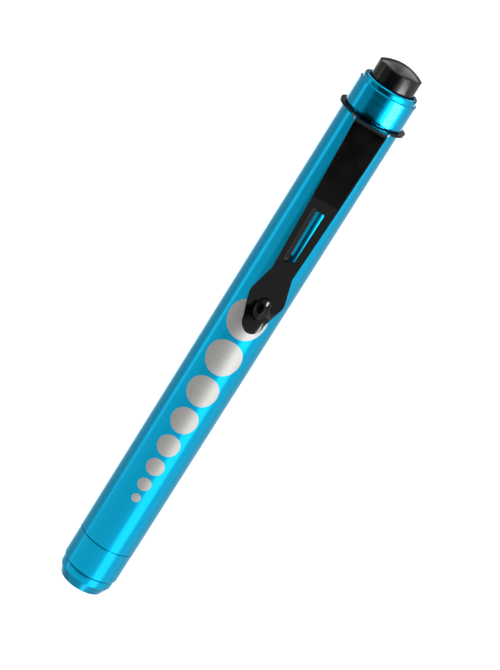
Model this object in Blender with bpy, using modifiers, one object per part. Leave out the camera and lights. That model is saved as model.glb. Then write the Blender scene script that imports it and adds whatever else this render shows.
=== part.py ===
"""A pupil-gauge penlight: a slim aluminium pocket torch on two AAA cells.

The pen stands on its nose. +Z runs up its axis from the light end to the push
button, and the spring clip faces -Y. The origin is on the axis, in the plane
of the nose rim. All sizes below are in millimetres.
"""

import math

import bmesh
import bpy

MM = 0.001
GAP = 0.3  # clearance left between pieces that touch on the real object

# Outside of the pen, from the nose (z = 0) up
BODY_RADIUS = 6.5
HEAD_RADIUS = 6.44
NOSE_RADIUS = 6.1
NOSE_RIM_RADIUS = 5.03
NOSE_CONE_TOP_Z = 2.3
NOSE_TOP_Z = 3.85
HEAD_BOTTOM_Z = 4.15
HEAD_TOP_Z = 11.65
BARREL_BOTTOM_Z = 11.95
BARREL_TOP_Z = 119.1
CLIP_BOTTOM_Z = 119.4
CLIP_THICKNESS = 0.5
CAP_BOTTOM_Z = 120.2
CAP_SHOULDER_Z = 125.85
CAP_COLLAR_RADIUS = 6.1
CAP_TOP_Z = 127.15
BUTTON_RADIUS = 4.86
BUTTON_WALL_TOP_Z = 130.6
BUTTON_TOP_Z = 131.95
BUTTON_STROKE = 1.5

# The screwed joints at both ends of the barrel
BARREL_BORE_RADIUS = 5.6
SPIGOT_RADIUS = 5.3
THREAD_DEPTH = 0.4
THREAD_PITCH = 1.0
HEAD_SPIGOT_TOP_Z = 17.6
CAP_SPIGOT_BOTTOM_Z = 112.0
O_RING_WIRE = 0.8
O_RING_GROOVE_RADIUS = 4.45

# Inside the head
HEAD_BORE_RADIUS = 5.5
LED_SHELF_Z = 8.6
BOARD_BORE_RADIUS = 4.2
BOARD_BOTTOM_Z = 9.6
BOARD_TOP_Z = 10.6
HOLDER_BOTTOM_Z = 10.9
HOLDER_TOP_Z = 16.6
HOLDER_BORE_RADIUS = 3.6
NOSE_HOLE_RADIUS = 2.9
LENS_FACE_Z = 0.25
LENS_SEAT_Z = 0.8
LENS_SEAT_RADIUS = 4.5
LENS_FLANGE_TOP_Z = 2.0
REFLECTOR_BOTTOM_Z = 3.2
REFLECTOR_TOP_Z = 8.2
LED_RADIUS = 1.55
LED_BASE_BOTTOM_Z = 8.5
LED_BASE_TOP_Z = 9.3
CONTACT_PIN_RADIUS = 0.7

# The two cells
CELL_RADIUS = 5.2
CELL_LENGTH = 44.5
CELL_STUD_LENGTH = 0.9
CELL_STUD_RADIUS = 1.9
FRONT_CELL_BOTTOM_Z = 17.8

# Inside the tail cap
CAP_SHELF_Z = 120.6
CAP_CHAMBER_RADIUS = 5.75
CAP_SPIGOT_BORE_RADIUS = 4.3
CAP_LIP_BOTTOM_Z = 125.75
CAP_LIP_RADIUS = 5.15
HOUSING_TOP_Z = 121.9
CONTACT_DISC_BOTTOM_Z = 112.5
CONTACT_DISC_TOP_Z = 113.2
PLUNGER_RADIUS = 1.0
PLUNGER_HEAD_BOTTOM_Z = 128.1
BUTTON_BOTTOM_Z = 124.6
BUTTON_FLANGE = 0.8
BUTTON_CEILING_Z = 129.2

# The spring clip: "reach" is from the pen's axis to the middle of the metal
CLIP_RING_OUTER_RADIUS = 7.5
CLIP_RING_INNER_RADIUS = 5.6
CLIP_ROOT_HALF_WIDTH = 4.3
CLIP_TOP_HALF_WIDTH = 3.66
CLIP_TOP_REACH = 10.2
CLIP_BEND_RADIUS = 0.6
CLIP_SPLIT_Z = 118.2  # where the collar's tongue ends and the blade begins
CLIP_KINK_Z = 101.5
CLIP_KINK_REACH = 10.0
CLIP_WAIST_Z = 84.2
CLIP_WAIST_HALF_WIDTH = 2.43
CLIP_FLARE_Z = 77.9
CLIP_FLARE_HALF_WIDTH = 4.03
CLIP_FLARE_ROUND = 0.45  # how much of the flanks' corner is rounded off
CLIP_LOW_Z = 76.8  # where the blade comes closest to the barrel
CLIP_LOW_REACH = 7.7
CLIP_TIP_Z = 70.2
CLIP_TIP_REACH = 10.1
CLIP_TIP_RADIUS = 2.3
CLIP_LEAN_DEG = 0.95  # the blade leans to +X on its way down
DIMPLE_Z = 75.6
DIMPLE_HEIGHT = 0.6
DIMPLE_HALF_WIDTH = 1.5
DIMPLE_HALF_LENGTH = 2.2
SLOT_TOP_Z = 99.6
SLOT_BOTTOM_Z = 87.4
SLOT_TOP_HALF_WIDTH = 0.95
SLOT_BOTTOM_HALF_WIDTH = 0.71
SLOT_OFFSET = 0.2  # towards +X from the blade's centre line
SLOT_CORNER = 0.35

OUTER_STEPS = 36
INNER_STEPS = 24


def clear_scene():
    for obj in list(bpy.data.objects):
        bpy.data.objects.remove(obj, do_unlink=True)


def new_collection(name):
    collection = bpy.data.collections.new(name)
    bpy.context.scene.collection.children.link(collection)
    return collection


def new_material(name, colour, metallic, roughness, alpha=1.0):
    material = bpy.data.materials.new(name)
    material.use_nodes = True
    shader = material.node_tree.nodes["Principled BSDF"]
    shader.inputs["Base Color"].default_value = (*colour, 1.0)
    shader.inputs["Metallic"].default_value = metallic
    shader.inputs["Roughness"].default_value = roughness
    shader.inputs["Alpha"].default_value = alpha
    material.diffuse_color = (*colour, alpha)
    return material


def new_joint(name, height, out=0.0):
    """An empty on a joint's axis: its children are the body that the joint moves."""
    empty = bpy.data.objects.new(name, None)
    empty.location = (0.0, -out * MM, height * MM)
    PEN.objects.link(empty)
    return empty


def add(name, data, material, joint, collection=None):
    """An object whose mesh is given in the pen's own frame, moved to its joint's."""
    obj = bpy.data.objects.new(name, data)
    (collection or PEN).objects.link(obj)
    if material:
        data.materials.append(material)
    if joint:
        for point in getattr(data, "vertices", []):
            point.co -= joint.location
        obj.parent = joint
    return obj


def arc(radius, height, size, start_deg, end_deg, points=4):
    """Points on a round edge, about a centre at this radius and height."""
    angles = [start_deg + (end_deg - start_deg) * i / (points - 1) for i in range(points)]
    return [
        (radius + size * math.cos(math.radians(a)), height + size * math.sin(math.radians(a)))
        for a in angles
    ]


def turned(name, profile, material, joint=None, steps=INNER_STEPS):
    """A turned piece. The profile is (radius, height) points that run down the
    outer side. It ends on the axis, or runs back up a bore and closes."""
    mesh = bpy.data.meshes.new(name)
    points = [(radius * MM, 0.0, height * MM) for radius, height in profile]
    edges = [(i, i + 1) for i in range(len(points) - 1)]
    if profile[0][0] > 0.0:
        edges.append((len(points) - 1, 0))
    mesh.from_pydata(points, edges, [])
    obj = add(name, mesh, material, joint)
    screw = obj.modifiers.new("Turn", "SCREW")
    screw.axis = "Z"
    screw.angle = math.tau
    screw.steps = screw.render_steps = steps
    screw.use_smooth_shade = True
    screw.use_merge_vertices = True
    screw.merge_threshold = 0.00001
    return obj


def tube(outer, inner, bottom, top):
    return [(outer, top), (outer, bottom), (inner, bottom), (inner, top)]


def thread(crest, bottom, top):
    """Grooves of a screw thread, as rings, down the outer side of a spigot."""
    points = []
    turns = int((top - bottom) / THREAD_PITCH)
    for turn in range(turns):
        height = top - turn * THREAD_PITCH
        points += [
            (crest, height),
            (crest - THREAD_DEPTH, height - 0.5 * THREAD_PITCH),
        ]
    return points + [(crest, top - turns * THREAD_PITCH)]


def o_ring(name, radius, wire, height, material, joint):
    bpy.ops.mesh.primitive_torus_add(
        major_segments=INNER_STEPS,
        minor_segments=6,
        major_radius=radius * MM,
        minor_radius=0.5 * wire * MM,
    )
    torus = bpy.context.object
    mesh = torus.data
    bpy.data.objects.remove(torus)
    for point in mesh.vertices:
        point.co.z += height * MM
    mesh.name = name
    mesh.shade_smooth()
    return add(name, mesh, material, joint)


def coil(name, heights, radii, wire, turns, joint):
    """A compression spring between two heights, with a flat turn at each end."""
    (bottom, top), (bottom_radius, top_radius) = heights, radii
    points_a_turn = 12
    count = int(turns * points_a_turn) + 1
    curve = bpy.data.curves.new(name, "CURVE")
    curve.dimensions = "3D"
    curve.bevel_depth = 0.5 * wire * MM
    curve.bevel_resolution = 1
    curve.use_fill_caps = True
    spline = curve.splines.new("POLY")
    spline.points.add(count - 1)
    low, high = bottom + 0.5 * wire, top - 0.5 * wire
    flat = 0.8 / turns
    for i, point in enumerate(spline.points):
        along = i / (count - 1)
        rise = min(max((along - flat) / (1.0 - 2.0 * flat), 0.0), 1.0)
        # the flat turns climb by a little over one wire, so that they don't touch
        lift = 1.25 * wire * (min(along / flat, 1.0) + max((along - 1.0 + flat) / flat, 0.0))
        height = low + lift + rise * (high - low - 2.5 * wire)
        radius = bottom_radius + (top_radius - bottom_radius) * along
        angle = math.tau * turns * along
        point.co = (
            radius * math.cos(angle) * MM,
            radius * math.sin(angle) * MM,
            height * MM,
            1.0,
        )
    obj = add(name, curve, NICKEL, None)
    obj.parent = joint
    obj.location = -joint.location


# ---------------------------------------------------------------- the barrel


def make_barrel():
    edge = 0.08
    mouth = 0.35
    turned(
        "barrel_tube",
        [
            (BODY_RADIUS - edge, BARREL_TOP_Z),
            (BODY_RADIUS, BARREL_TOP_Z - edge),
            (BODY_RADIUS, BARREL_BOTTOM_Z + edge),
            (BODY_RADIUS - edge, BARREL_BOTTOM_Z),
            (BARREL_BORE_RADIUS + mouth, BARREL_BOTTOM_Z),
            (BARREL_BORE_RADIUS, BARREL_BOTTOM_Z + mouth),
            (BARREL_BORE_RADIUS, BARREL_TOP_Z - mouth),
            (BARREL_BORE_RADIUS + mouth, BARREL_TOP_Z),
        ],
        ANODISED,
        steps=OUTER_STEPS,
    )


def make_cell(name, bottom):
    """An AAA cell with its positive stud towards the nose."""
    edge = 0.5
    can_bottom = bottom + CELL_STUD_LENGTH + GAP
    top = bottom + CELL_LENGTH
    turned(
        name + "_cell",
        [
            (0.0, top),
            (CELL_RADIUS - edge, top),
            (CELL_RADIUS, top - edge),
            (CELL_RADIUS, can_bottom + edge),
            (CELL_RADIUS - edge, can_bottom),
            (0.0, can_bottom),
        ],
        CELL_SLEEVE,
    )
    edge = 0.25
    turned(
        name + "_terminal",
        [
            (0.0, bottom + CELL_STUD_LENGTH),
            (CELL_STUD_RADIUS, bottom + CELL_STUD_LENGTH),
            (CELL_STUD_RADIUS, bottom + edge),
            (CELL_STUD_RADIUS - edge, bottom),
            (0.0, bottom),
        ],
        NICKEL,
        steps=16,
    )


# ------------------------------------------------------------------ the head


def make_head(joint, seal_joint):
    """The shell that screws into the barrel, and what shines out of it."""
    groove_top = HEAD_TOP_Z + 1.6
    groove_bottom = groove_top - O_RING_WIRE - 0.2
    edge = 0.08
    turned(
        "head_shell",
        [(SPIGOT_RADIUS - 0.3, HEAD_SPIGOT_TOP_Z)]
        + thread(SPIGOT_RADIUS, groove_top, HEAD_SPIGOT_TOP_Z - 0.3)
        + [
            (SPIGOT_RADIUS, groove_top),
            (O_RING_GROOVE_RADIUS, groove_top),
            (O_RING_GROOVE_RADIUS, groove_bottom),
            (SPIGOT_RADIUS, groove_bottom),
            (SPIGOT_RADIUS, HEAD_TOP_Z),
            (HEAD_RADIUS - edge, HEAD_TOP_Z),
            (HEAD_RADIUS, HEAD_TOP_Z - edge),
        ]
        + arc(HEAD_RADIUS - 0.4, HEAD_BOTTOM_Z + 0.4, 0.4, 0.0, -90.0)
        + [
            (HEAD_BORE_RADIUS, HEAD_BOTTOM_Z),
            (HEAD_BORE_RADIUS, LED_SHELF_Z),
            (BOARD_BORE_RADIUS, LED_SHELF_Z),
            (BOARD_BORE_RADIUS, HOLDER_BOTTOM_Z),
            (HOLDER_BORE_RADIUS, HOLDER_BOTTOM_Z),
            (HOLDER_BORE_RADIUS, HEAD_SPIGOT_TOP_Z),
        ],
        ANODISED,
        joint,
        OUTER_STEPS,
    )
    o_ring(
        "head_o_ring",
        O_RING_GROOVE_RADIUS + 0.15 + 0.5 * O_RING_WIRE,
        O_RING_WIRE,
        0.5 * (groove_top + groove_bottom),
        RUBBER,
        seal_joint,
    )
    make_nose(joint)
    make_lamp(joint)


def make_nose(joint):
    """The bezel with its tapered rim, the stepped lens and the lens gasket."""
    spigot = HEAD_BORE_RADIUS - GAP
    spigot_top = LED_SHELF_Z - GAP
    turned(
        "lens_bezel",
        [
            (spigot, spigot_top),
            (spigot, NOSE_TOP_Z),
            (NOSE_RADIUS - 0.1, NOSE_TOP_Z),
            (NOSE_RADIUS, NOSE_TOP_Z - 0.1),
            (NOSE_RADIUS, NOSE_CONE_TOP_Z + 0.15),
            (NOSE_RADIUS - 0.1, NOSE_CONE_TOP_Z - 0.1),
            (NOSE_RIM_RADIUS, 0.2),
            (NOSE_RIM_RADIUS - 0.23, 0.0),
            (NOSE_HOLE_RADIUS, 0.0),
            (NOSE_HOLE_RADIUS, LENS_SEAT_Z),
            (LENS_SEAT_RADIUS, LENS_SEAT_Z),
            (LENS_SEAT_RADIUS, spigot_top),
        ],
        ANODISED,
        joint,
        OUTER_STEPS,
    )
    boss = NOSE_HOLE_RADIUS - GAP
    flange = LENS_SEAT_RADIUS - GAP
    flange_bottom = LENS_SEAT_Z + GAP
    turned(
        "lens",
        [
            (0.0, LENS_FLANGE_TOP_Z),
            (flange, LENS_FLANGE_TOP_Z),
            (flange, flange_bottom),
            (boss, flange_bottom),
            (boss, LENS_FACE_Z + 0.1),
            (boss - 0.1, LENS_FACE_Z),
            (0.0, LENS_FACE_Z),
        ],
        CLEAR,
        joint,
    )
    wire = REFLECTOR_BOTTOM_Z - LENS_FLANGE_TOP_Z - 2 * GAP
    o_ring(
        "lens_gasket",
        flange - 0.5 * wire,
        wire,
        0.5 * (REFLECTOR_BOTTOM_Z + LENS_FLANGE_TOP_Z),
        RUBBER,
        joint,
    )


def make_lamp(joint):
    """The reflector cup, the LED on its board, and the holder with its contact."""
    mouth = LENS_SEAT_RADIUS - GAP
    throat = LED_RADIUS + 0.4
    wall = 0.5
    rings = 5
    bowl = []
    for i in range(rings + 1):
        along = i / rings
        radius = throat + (mouth - wall - throat) * math.sqrt(1.0 - along)
        bowl.append((radius, REFLECTOR_BOTTOM_Z + (REFLECTOR_TOP_Z - REFLECTOR_BOTTOM_Z) * along))
    outside = [(radius + wall, height) for radius, height in reversed(bowl[1:])]
    turned(
        "reflector",
        outside + [(mouth, REFLECTOR_BOTTOM_Z + 0.6), (mouth, REFLECTOR_BOTTOM_Z)] + bowl,
        MIRROR,
        joint,
    )
    dome_z = 6.6
    base = 2.4
    turned(
        "led_lamp",
        [
            (0.0, LED_BASE_TOP_Z),
            (base, LED_BASE_TOP_Z),
            (base, LED_BASE_BOTTOM_Z),
            (LED_RADIUS, LED_BASE_BOTTOM_Z),
        ]
        + arc(0.0, dome_z, LED_RADIUS, 0.0, -75.0, 5)
        + [(0.0, dome_z - LED_RADIUS)],
        CLEAR,
        joint,
        16,
    )
    board = BOARD_BORE_RADIUS - GAP
    turned(
        "led_board",
        [(0.0, BOARD_TOP_Z), (board, BOARD_TOP_Z), (board, BOARD_BOTTOM_Z), (0.0, BOARD_BOTTOM_Z)],
        BOARD,
        joint,
    )
    turned(
        "lamp_holder",
        tube(HOLDER_BORE_RADIUS - GAP, CONTACT_PIN_RADIUS + GAP, HOLDER_BOTTOM_Z, HOLDER_TOP_Z),
        PLASTIC,
        joint,
        20,
    )
    button = 1.8
    button_top = FRONT_CELL_BOTTOM_Z - GAP
    turned(
        "front_contact_pin",
        [
            (0.0, button_top),
            (button - 0.2, button_top),
            (button, button_top - 0.2),
            (button, HOLDER_TOP_Z + GAP),
            (CONTACT_PIN_RADIUS, HOLDER_TOP_Z + GAP),
            (CONTACT_PIN_RADIUS, HOLDER_BOTTOM_Z),
            (0.0, HOLDER_BOTTOM_Z),
        ],
        BRASS,
        joint,
        16,
    )


# -------------------------------------------------------------- the tail cap


def make_tail_cap(joint, seal_joint):
    """The shell that screws into the barrel, with the switch that it carries."""
    wire = O_RING_WIRE - 0.2
    floor = SPIGOT_RADIUS - wire - 0.1
    groove_bottom = BARREL_TOP_Z - 1.5
    groove_top = groove_bottom + wire + 0.3
    edge = 0.1
    turned(
        "tail_cap_shell",
        arc(CAP_COLLAR_RADIUS - 0.45, CAP_TOP_Z - 0.45, 0.45, 90.0, 0.0)
        + [
            (CAP_COLLAR_RADIUS, CAP_SHOULDER_Z + edge),
            (CAP_COLLAR_RADIUS + edge, CAP_SHOULDER_Z),
            (BODY_RADIUS - edge, CAP_SHOULDER_Z),
            (BODY_RADIUS, CAP_SHOULDER_Z - edge),
            (BODY_RADIUS, CAP_BOTTOM_Z + edge),
            (BODY_RADIUS - edge, CAP_BOTTOM_Z),
            (SPIGOT_RADIUS, CAP_BOTTOM_Z),
            (SPIGOT_RADIUS, groove_top),
            (floor, groove_top),
            (floor, groove_bottom),
            (SPIGOT_RADIUS, groove_bottom),
        ]
        + thread(SPIGOT_RADIUS, CAP_SPIGOT_BOTTOM_Z, groove_bottom - 0.3)
        + [
            (SPIGOT_RADIUS - 0.3, CAP_SPIGOT_BOTTOM_Z),
            (CAP_SPIGOT_BORE_RADIUS, CAP_SPIGOT_BOTTOM_Z),
            (CAP_SPIGOT_BORE_RADIUS, CAP_SHELF_Z),
            (CAP_CHAMBER_RADIUS, CAP_SHELF_Z),
            (CAP_CHAMBER_RADIUS, CAP_LIP_BOTTOM_Z),
            (CAP_LIP_RADIUS, CAP_LIP_BOTTOM_Z),
            (CAP_LIP_RADIUS, CAP_TOP_Z),
        ],
        ANODISED,
        joint,
        OUTER_STEPS,
    )
    o_ring(
        "tail_o_ring",
        floor + 0.1 + 0.5 * wire,
        wire,
        0.5 * (groove_top + groove_bottom),
        RUBBER,
        seal_joint,
    )
    make_switch(joint)


def make_switch(joint):
    """The pieces inside the tail cap that stay still when the button is pressed."""
    body = CAP_SPIGOT_BORE_RADIUS - GAP
    flange = CAP_CHAMBER_RADIUS - GAP
    hole = PLUNGER_RADIUS + GAP
    turned(
        "switch_housing",
        [
            (flange, HOUSING_TOP_Z),
            (flange, CAP_SHELF_Z + GAP),
            (body, CAP_SHELF_Z + GAP),
            (body, CONTACT_DISC_TOP_Z + GAP),
            (hole, CONTACT_DISC_TOP_Z + GAP),
            (hole, HOUSING_TOP_Z),
        ],
        PLASTIC,
        joint,
    )
    ring_bottom = HOUSING_TOP_Z + GAP
    turned(
        "switch_retaining_ring",
        tube(flange, flange - 0.9, ring_bottom, ring_bottom + 0.7),
        BRASS,
        joint,
    )
    turned(
        "contact_disc",
        [
            (0.0, CONTACT_DISC_TOP_Z),
            (body, CONTACT_DISC_TOP_Z),
            (body, CONTACT_DISC_BOTTOM_Z),
            (0.0, CONTACT_DISC_BOTTOM_Z),
        ],
        BRASS,
        joint,
    )
    cells_top = FRONT_CELL_BOTTOM_Z + 2 * CELL_LENGTH + GAP
    coil(
        "battery_spring",
        (cells_top + GAP, CONTACT_DISC_BOTTOM_Z - GAP),
        (2.3, 3.4),
        0.45,
        4.0,
        joint,
    )
    coil(
        "button_spring",
        (HOUSING_TOP_Z + GAP, PLUNGER_HEAD_BOTTOM_Z - GAP),
        (2.4, 2.4),
        0.4,
        5.0,
        joint,
    )


# ---------------------------------------------------------------- the button


def make_button(joint):
    """The domed push button, held in by its flange, and the plunger under it."""
    flange = CAP_CHAMBER_RADIUS - GAP
    inside = BUTTON_RADIUS - 0.95
    edge = 0.2
    crown = BUTTON_RADIUS - edge
    rise = BUTTON_TOP_Z - BUTTON_WALL_TOP_Z - edge
    sphere = 0.5 * (crown * crown + rise * rise) / rise
    dome = [
        (crown * part, BUTTON_TOP_Z - sphere + math.sqrt(sphere**2 - (crown * part) ** 2))
        for part in (0.0, 0.35, 0.65, 0.87)
    ]
    turned(
        "push_button",
        dome
        + arc(crown, BUTTON_WALL_TOP_Z, edge, 90.0, 0.0, 3)
        + [
            (BUTTON_RADIUS, BUTTON_BOTTOM_Z + BUTTON_FLANGE),
            (flange, BUTTON_BOTTOM_Z + BUTTON_FLANGE),
            (flange, BUTTON_BOTTOM_Z),
            (inside, BUTTON_BOTTOM_Z),
            (inside, BUTTON_CEILING_Z),
            (0.0, BUTTON_CEILING_Z),
        ],
        BLACK,
        joint,
        OUTER_STEPS,
    )
    head = inside - GAP
    stem_bottom = CONTACT_DISC_TOP_Z + BUTTON_STROKE + GAP
    turned(
        "switch_plunger",
        [
            (0.0, BUTTON_CEILING_Z - GAP),
            (head, BUTTON_CEILING_Z - GAP),
            (head, PLUNGER_HEAD_BOTTOM_Z),
            (PLUNGER_RADIUS, PLUNGER_HEAD_BOTTOM_Z),
            (PLUNGER_RADIUS, stem_bottom + 0.3),
            (PLUNGER_RADIUS - 0.3, stem_bottom),
            (0.0, stem_bottom),
        ],
        BRASS,
        joint,
        16,
    )


# ------------------------------------------------------------------ the clip


def ease(x):
    """0 to 1 with level ends."""
    x = min(max(x, 0.0), 1.0)
    return x * x * (3.0 - 2.0 * x)


def between(x, x0, x1, y0, y1):
    """The height at x of the straight line from (x0, y0) to (x1, y1)."""
    return y0 + (y1 - y0) * (x - x0) / (x1 - x0)


def blade_half_width(z):
    """Half the clip's width: a long taper, a spade-shaped flare and a round end."""
    if z >= CLIP_WAIST_Z:
        return between(z, CLIP_WAIST_Z, CLIP_BOTTOM_Z, CLIP_WAIST_HALF_WIDTH, CLIP_TOP_HALF_WIDTH)
    round_z = CLIP_TIP_Z + CLIP_TIP_RADIUS
    if z < round_z:
        rise = (round_z - z) / CLIP_TIP_RADIUS
        return CLIP_TIP_RADIUS * math.sqrt(max(1.0 - rise * rise, 0.0))
    above = between(z, CLIP_WAIST_Z, CLIP_FLARE_Z, CLIP_WAIST_HALF_WIDTH, CLIP_FLARE_HALF_WIDTH)
    below = between(z, CLIP_FLARE_Z, round_z, CLIP_FLARE_HALF_WIDTH, CLIP_TIP_RADIUS)
    # the two flanks meet in a rounded corner
    apart = abs(above - below)
    overlap = max(CLIP_FLARE_ROUND - apart, 0.0)
    return min(above, below) - 0.25 * overlap**2 / CLIP_FLARE_ROUND


def blade_reach(z):
    """From the pen's axis to the middle of the blade: in, and out again at the tip."""
    if z >= CLIP_KINK_Z:
        return between(z, CLIP_SPLIT_Z, CLIP_KINK_Z, CLIP_TOP_REACH, CLIP_KINK_REACH)
    if z >= CLIP_LOW_Z:
        return between(z, CLIP_KINK_Z, CLIP_LOW_Z, CLIP_KINK_REACH, CLIP_LOW_REACH)
    along = (CLIP_LOW_Z - z) / (CLIP_LOW_Z - CLIP_TIP_Z)
    return CLIP_LOW_REACH + (CLIP_TIP_REACH - CLIP_LOW_REACH) * along**1.6


def blade_lean(z):
    return math.tan(math.radians(CLIP_LEAN_DEG)) * (CLIP_BOTTOM_Z - z)


def dimple(across, z):
    """How far the pressed dome stands out of the blade."""
    away = math.hypot(across / DIMPLE_HALF_WIDTH, (z - DIMPLE_Z) / DIMPLE_HALF_LENGTH)
    return DIMPLE_HEIGHT * ease(1.0 - away)


def strip(name, rows, columns, material, joint, collection=None):
    """A bent strip of sheet: rows are (reach, height, half width) down its length."""
    shape = bmesh.new()
    grid = []
    for reach, z, half_width in rows:
        line = []
        for i in range(columns + 1):
            across = half_width * (2.0 * i / columns - 1.0)
            place = (across + blade_lean(z), -reach - dimple(across, z), z)
            line.append(shape.verts.new([MM * value for value in place]))
        grid.append(line)
    for upper, lower in zip(grid, grid[1:]):
        for i in range(columns):
            shape.faces.new((upper[i], lower[i], lower[i + 1], upper[i + 1]))
    mesh = bpy.data.meshes.new(name)
    shape.to_mesh(mesh)
    shape.free()
    obj = add(name, mesh, material, joint, collection)
    sheet = obj.modifiers.new("Sheet", "SOLIDIFY")
    sheet.thickness = CLIP_THICKNESS * MM
    sheet.offset = 0.0
    sheet.use_even_offset = True
    return obj


def cutter_from(name, shape, joint):
    mesh = bpy.data.meshes.new(name)
    shape.to_mesh(mesh)
    shape.free()
    cutter = add(name, mesh, None, joint, CUTTERS)
    cutter.hide_render = True
    cutter.display_type = "WIRE"
    return cutter


def boolean(obj, name, operation, other):
    cut = obj.modifiers.new(name, "BOOLEAN")
    cut.operation = operation
    cut.solver = "EXACT"
    cut.object = other


def slot_outline():
    """The tapering slot, with small round corners, as (x, z) points."""
    outline = []
    for z, side, half_width in (
        (SLOT_TOP_Z - SLOT_CORNER, 1, SLOT_TOP_HALF_WIDTH - SLOT_CORNER),
        (SLOT_BOTTOM_Z + SLOT_CORNER, -1, SLOT_BOTTOM_HALF_WIDTH - SLOT_CORNER),
    ):
        for corner, start in ((side, 90.0 - 90.0 * side), (-side, 180.0 - 90.0 * side)):
            centre = corner * half_width + SLOT_OFFSET + blade_lean(z)
            outline += arc(centre, z, SLOT_CORNER, start, start + 90.0, 3)
    return outline


def make_collar(joint):
    """The washer under the tail cap, with the tongue that bends down into the clip."""
    collar = turned(
        "clip_collar",
        tube(
            CLIP_RING_OUTER_RADIUS,
            CLIP_RING_INNER_RADIUS,
            CLIP_BOTTOM_Z,
            CLIP_BOTTOM_Z + CLIP_THICKNESS,
        ),
        CLIP_BLACK,
        joint,
        OUTER_STEPS,
    )
    middle = CLIP_BOTTOM_Z + 0.5 * CLIP_THICKNESS
    bend_reach = CLIP_TOP_REACH - CLIP_BEND_RADIUS
    root_reach = CLIP_RING_INNER_RADIUS + 1.0
    rows = [
        (root_reach, middle, CLIP_ROOT_HALF_WIDTH),
        (CLIP_RING_OUTER_RADIUS, middle, CLIP_ROOT_HALF_WIDTH),
        (bend_reach - 0.5, middle, CLIP_TOP_HALF_WIDTH + 0.15),
    ]
    for angle in (90.0, 60.0, 30.0, 0.0):
        out = CLIP_BEND_RADIUS * math.cos(math.radians(angle))
        down = CLIP_BEND_RADIUS * (1.0 - math.sin(math.radians(angle)))
        rows.append((bend_reach + out, middle - down, CLIP_TOP_HALF_WIDTH))
    rows.append((CLIP_TOP_REACH, CLIP_SPLIT_Z, blade_half_width(CLIP_SPLIT_Z)))
    tongue = strip("clip_tongue", rows, 4, None, joint, CUTTERS)
    tongue.hide_render = True
    tongue.display_type = "WIRE"
    boolean(collar, "Tongue", "UNION", tongue)


def make_blade(joint):
    """The blade, from just below the bend to its turned-out tip."""
    heights = [CLIP_SPLIT_Z - GAP, 110.0, CLIP_KINK_Z + 0.4, CLIP_KINK_Z - 0.4, 93.0]
    heights += [CLIP_WAIST_Z + 0.3, CLIP_WAIST_Z - 0.3, 81.0]
    round_z = CLIP_TIP_Z + CLIP_TIP_RADIUS
    rings = 9
    heights += [between(i, 0, rings, CLIP_FLARE_Z, round_z) for i in range(rings + 1)]
    for angle in (20.0, 40.0, 60.0, 75.0, 85.0):
        heights.append(round_z - CLIP_TIP_RADIUS * math.sin(math.radians(angle)))
    rows = [(blade_reach(z), z, blade_half_width(z)) for z in heights]
    blade = strip("clip_blade", rows, 8, CLIP_BLACK, joint)

    shape = bmesh.new()
    front = -(CLIP_TOP_REACH + 2.0)
    depth = 4.0
    corners = [shape.verts.new((x * MM, front * MM, z * MM)) for x, z in slot_outline()]
    pushed = bmesh.ops.extrude_face_region(shape, geom=[shape.faces.new(corners)])
    for item in pushed["geom"]:
        if isinstance(item, bmesh.types.BMVert):
            item.co.y += depth * MM
    bmesh.ops.recalc_face_normals(shape, faces=shape.faces[:])
    boolean(blade, "Slot", "DIFFERENCE", cutter_from("slot_cutter", shape, joint))


# ----------------------------------------------------------------- the pieces

clear_scene()
PEN = new_collection("pupil_gauge_penlight")
CUTTERS = new_collection("cutters")

ANODISED = new_material("anodised_blue", (0.0, 0.33, 0.56), 0.9, 0.25)
CLIP_BLACK = new_material("black_plated_steel", (0.012, 0.012, 0.014), 0.6, 0.2)
BLACK = new_material("black_plastic", (0.012, 0.012, 0.012), 0.0, 0.22)
PLASTIC = new_material("white_nylon", (0.75, 0.74, 0.7), 0.0, 0.5)
RUBBER = new_material("seal_rubber", (0.02, 0.02, 0.02), 0.0, 0.7)
CLEAR = new_material("clear_acrylic", (0.85, 0.92, 0.95), 0.0, 0.05, 0.4)
MIRROR = new_material("chromed_plastic", (0.9, 0.9, 0.9), 1.0, 0.08)
BRASS = new_material("contact_brass", (0.72, 0.5, 0.2), 1.0, 0.3)
NICKEL = new_material("nickel_plate", (0.7, 0.68, 0.64), 1.0, 0.25)
BOARD = new_material("circuit_board", (0.02, 0.18, 0.06), 0.0, 0.45)
CELL_SLEEVE = new_material("cell_sleeve", (0.16, 0.17, 0.19), 0.2, 0.4)

head_axis = new_joint("head_axis", HEAD_TOP_Z)
head_seal_axis = new_joint("head_seal_axis", HEAD_TOP_Z)
cap_axis = new_joint("cap_axis", CAP_BOTTOM_Z)
cap_seal_axis = new_joint("cap_seal_axis", CAP_BOTTOM_Z)
button_axis = new_joint("button_axis", CAP_TOP_Z)
collar_axis = new_joint("collar_axis", CLIP_BOTTOM_Z)
blade_axis = new_joint("blade_axis", CLIP_SPLIT_Z, CLIP_TOP_REACH)

make_barrel()
make_cell("battery_front", FRONT_CELL_BOTTOM_Z)
make_cell("battery_rear", FRONT_CELL_BOTTOM_Z + CELL_LENGTH + GAP)
make_head(head_axis, head_seal_axis)
make_tail_cap(cap_axis, cap_seal_axis)
make_button(button_axis)
make_collar(collar_axis)
make_blade(blade_axis)
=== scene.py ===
"""Looks for the pupil-gauge penlight: smooth turned pieces, real threads, and a bent clip.

The pen stands on its nose with its clip towards -Y. Sizes are in millimetres, unless a comment
says otherwise. The settings of the material nodes are in metres.
"""

import math

import bmesh
import bpy
import numpy as np
from mathutils import Matrix, Vector
from mathutils.geometry import delaunay_2d_cdt


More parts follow.
